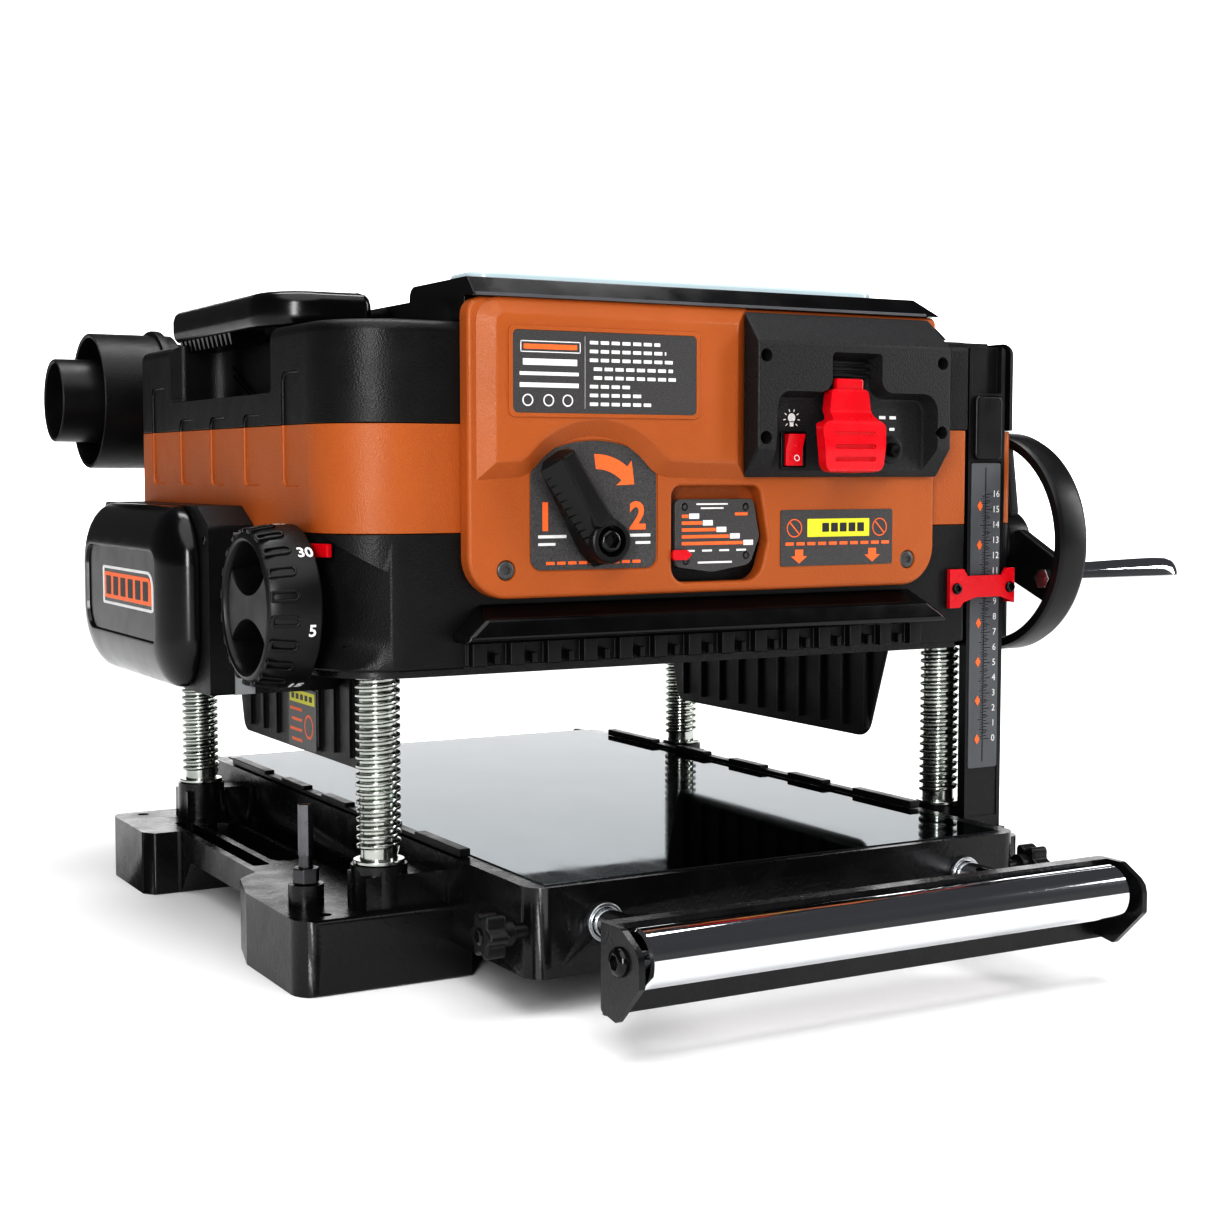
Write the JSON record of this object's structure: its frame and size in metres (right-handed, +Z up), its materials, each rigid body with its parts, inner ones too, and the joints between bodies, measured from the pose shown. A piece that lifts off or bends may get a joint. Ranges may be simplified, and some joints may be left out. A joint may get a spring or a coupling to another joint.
{
  "type": "thickness planer",
  "caption": "Bench thickness planer: cast base with steel table and roller extensions, four threaded columns and a motorised cutting head with handwheel, stops and dust port.",
  "frame": {"origin": "middle of the machine's width on the top face of the steel table, midway between the front and rear columns", "axes": "+X to the right seen from the infeed side, +Y towards the outfeed side, along the feed, +Z up"},
  "size_m": [0.6465, 0.731, 0.3995],
  "materials": {
    "base_enamel": "glossy black enamel",
    "housing_black": "fine moulded texture",
    "gloss_black": "semi-gloss moulded",
    "housing_orange": "leather-grain moulded",
    "control_black": "satin moulded",
    "safety_red": "semi-gloss moulded",
    "table_steel": "ground and polished",
    "zinc_screw": "zinc plated rolled thread",
    "machined_steel": "machined",
    "chrome_steel": "polished chrome",
    "cast_aluminium": "as cast",
    "black_rubber": "dull rubber",
    "painted_post": "satin black paint",
    "scale_grey": "printed scale, satin",
    "pale_panel": "pale blue-grey, gloss"
  },
  "bodies": {
    "base": {"base_casting": "base_enamel", "table_plate": "table_steel", "guide_strip_left": "control_black", "guide_strip_right": "control_black", "column_screw_front_left": "zinc_screw", "column_screw_front_right": "zinc_screw", "column_screw_rear_left": "zinc_screw", "column_screw_rear_right": "zinc_screw", "scale_post": "painted_post", "depth_scale": "scale_grey", "stop_rod": "machined_steel", "stop_nut": "machined_steel"},
    "head": {"head_chassis": "cast_aluminium", "lower_housing": "housing_black", "mid_band": "housing_orange", "upper_housing": "housing_black", "top_cover": "housing_black", "top_plate": "pale_panel", "carry_handle": "gloss_black", "front_panel": "housing_orange", "switch_box": "housing_black", "finger_guard": "housing_black", "skirt_left": "housing_black", "skirt_right": "housing_black", "scale_pointer": "safety_red", "drive_plate": "housing_black", "drive_cover": "gloss_black", "motor": "cast_aluminium", "drive_belt": "black_rubber", "dust_hood": "housing_black", "dust_port": "housing_black", "dust_reducer": "housing_black"},
    "infeed_extension": {"infeed_rod_left": "chrome_steel", "infeed_rod_right": "chrome_steel", "infeed_bracket": "base_enamel"},
    "outfeed_extension": {"outfeed_rod_left": "chrome_steel", "outfeed_rod_right": "chrome_steel", "outfeed_bracket": "base_enamel"},
    "infeed_roller": {"infeed_roller": "chrome_steel"},
    "outfeed_roller": {"outfeed_roller": "chrome_steel"},
    "infeed_lock_knob_left": {"infeed_lock_knob_left": "control_black"},
    "infeed_lock_knob_right": {"infeed_lock_knob_right": "control_black"},
    "outfeed_lock_knob_left": {"outfeed_lock_knob_left": "control_black"},
    "outfeed_lock_knob_right": {"outfeed_lock_knob_right": "control_black"},
    "handwheel": {"handwheel": "control_black"},
    "crank_grip": {"crank_grip": "chrome_steel"},
    "elevation_nut_front_left": {"elevation_nut_front_left": "machined_steel"},
    "elevation_nut_front_right": {"elevation_nut_front_right": "machined_steel"},
    "elevation_nut_rear_left": {"elevation_nut_rear_left": "machined_steel"},
    "elevation_nut_rear_right": {"elevation_nut_rear_right": "machined_steel"},
    "depth_turret": {"depth_turret": "control_black"},
    "speed_selector": {"speed_selector": "control_black"},
    "safety_paddle": {"safety_paddle": "safety_red"},
    "light_rocker": {"light_rocker": "safety_red"},
    "cutterhead": {"cutterhead": "machined_steel"},
    "motor_pulley": {"motor_pulley": "machined_steel"},
    "feed_roller_front": {"feed_roller_front": "black_rubber"},
    "feed_roller_rear": {"feed_roller_rear": "black_rubber"},
    "reset_button": {"reset_button": "control_black"},
    "gauge_pointer": {"gauge_pointer": "safety_red"}
  },
  "joints": [
    {"name": "head_lift", "type": "slide", "parent": "base", "child": "head", "axis": [0, 0, 1], "range_m": [-0.068, 0.054]},
    {"name": "infeed_extension_slide", "type": "slide", "parent": "base", "child": "infeed_extension", "axis": [0, -1, 0], "range_m": [-0.068, 0.05]},
    {"name": "outfeed_extension_slide", "type": "slide", "parent": "base", "child": "outfeed_extension", "axis": [0, 1, 0], "range_m": [0, 0.118]},
    {"name": "infeed_roller_spin", "type": "hinge", "parent": "infeed_extension", "child": "infeed_roller", "pos_m": [0, -0.372, -0.0185], "axis": [1, 0, 0], "continuous": true},
    {"name": "outfeed_roller_spin", "type": "hinge", "parent": "outfeed_extension", "child": "outfeed_roller", "pos_m": [0, 0.268, -0.0185], "axis": [1, 0, 0], "continuous": true},
    {"name": "infeed_lock_knob_left_turn", "type": "hinge", "parent": "base", "child": "infeed_lock_knob_left", "pos_m": [-0.175, -0.273, -0.024], "axis": [-1, 0, 0], "range_deg": [0, 360]},
    {"name": "infeed_lock_knob_right_turn", "type": "hinge", "parent": "base", "child": "infeed_lock_knob_right", "pos_m": [0.175, -0.273, -0.024], "axis": [1, 0, 0], "range_deg": [0, 360]},
    {"name": "outfeed_lock_knob_left_turn", "type": "hinge", "parent": "base", "child": "outfeed_lock_knob_left", "pos_m": [-0.175, 0.236, -0.024], "axis": [-1, 0, 0], "range_deg": [0, 360]},
    {"name": "outfeed_lock_knob_right_turn", "type": "hinge", "parent": "base", "child": "outfeed_lock_knob_right", "pos_m": [0.175, 0.236, -0.024], "axis": [1, 0, 0], "range_deg": [0, 360]},
    {"name": "handwheel_turn", "type": "hinge", "parent": "head", "child": "handwheel", "pos_m": [0.258, -0.154, 0.1685], "axis": [1, 0, 0], "range_deg": [-4950, 3930]},
    {"name": "crank_grip_spin", "type": "hinge", "parent": "handwheel", "child": "crank_grip", "pos_m": [0.3, -0.20516, 0.14572], "axis": [1, 0, 0], "continuous": true},
    {"name": "elevation_nut_front_left_turn", "type": "hinge", "parent": "head", "child": "elevation_nut_front_left", "pos_m": [-0.2, -0.1633, 0.133], "axis": [0, 0, 1], "range_deg": [-4950, 3930]},
    {"name": "elevation_nut_front_right_turn", "type": "hinge", "parent": "head", "child": "elevation_nut_front_right", "pos_m": [0.2, -0.1633, 0.133], "axis": [0, 0, 1], "range_deg": [-4950, 3930]},
    {"name": "elevation_nut_rear_left_turn", "type": "hinge", "parent": "head", "child": "elevation_nut_rear_left", "pos_m": [-0.2, 0.1633, 0.133], "axis": [0, 0, 1], "range_deg": [-4950, 3930]},
    {"name": "elevation_nut_rear_right_turn", "type": "hinge", "parent": "head", "child": "elevation_nut_rear_right", "pos_m": [0.2, 0.1633, 0.133], "axis": [0, 0, 1], "range_deg": [-4950, 3930]},
    {"name": "depth_turret_turn", "type": "hinge", "parent": "head", "child": "depth_turret", "pos_m": [-0.25, -0.1407, 0.141], "axis": [-1, 0, 0], "continuous": true},
    {"name": "speed_selector_turn", "type": "hinge", "parent": "head", "child": "speed_selector", "pos_m": [-0.0805, -0.21, 0.1765], "axis": [0, 1, 0], "range_deg": [0, 66]},
    {"name": "safety_paddle_turn", "type": "hinge", "parent": "head", "child": "safety_paddle", "pos_m": [0.0835, -0.212, 0.268], "axis": [1, 0, 0], "range_deg": [-25, 3], "stiffness_Nm_per_rad": 0.08},
    {"name": "light_rocker_turn", "type": "hinge", "parent": "head", "child": "light_rocker", "pos_m": [0.0485, -0.2103, 0.2285], "axis": [1, 0, 0], "range_deg": [-14, 0]},
    {"name": "cutterhead_spin", "type": "hinge", "parent": "head", "child": "cutterhead", "pos_m": [0, 0.005, 0.122], "axis": [1, 0, 0], "continuous": true},
    {"name": "motor_pulley_spin", "type": "hinge", "parent": "head", "child": "motor_pulley", "pos_m": [-0.2, 0.1, 0.164], "axis": [1, 0, 0], "continuous": true},
    {"name": "feed_roller_front_spin", "type": "hinge", "parent": "head", "child": "feed_roller_front", "pos_m": [0, -0.045, 0.112], "axis": [1, 0, 0], "continuous": true},
    {"name": "feed_roller_rear_spin", "type": "hinge", "parent": "head", "child": "feed_roller_rear", "pos_m": [0, 0.055, 0.112], "axis": [1, 0, 0], "continuous": true},
    {"name": "reset_button_slide", "type": "slide", "parent": "head", "child": "reset_button", "axis": [0, 1, 0], "range_m": [0, 0.0025], "stiffness_N_per_m": 300},
    {"name": "gauge_pointer_slide", "type": "slide", "parent": "head", "child": "gauge_pointer", "axis": [0, 0, 1], "range_m": [0, 0.03], "stiffness_N_per_m": 8}
  ],
  "couplings": [
    {"joint": "handwheel_turn", "follows": "head_lift", "rad_per_m": 1256.6},
    {"joint": "elevation_nut_front_left_turn", "follows": "head_lift", "rad_per_m": 1256.6},
    {"joint": "elevation_nut_front_right_turn", "follows": "head_lift", "rad_per_m": 1256.6},
    {"joint": "elevation_nut_rear_left_turn", "follows": "head_lift", "rad_per_m": 1256.6},
    {"joint": "elevation_nut_rear_right_turn", "follows": "head_lift", "rad_per_m": 1256.6},
    {"joint": "motor_pulley_spin", "follows": "cutterhead_spin", "ratio": 1.6},
    {"joint": "feed_roller_rear_spin", "follows": "feed_roller_front_spin", "ratio": 1}
  ]
}
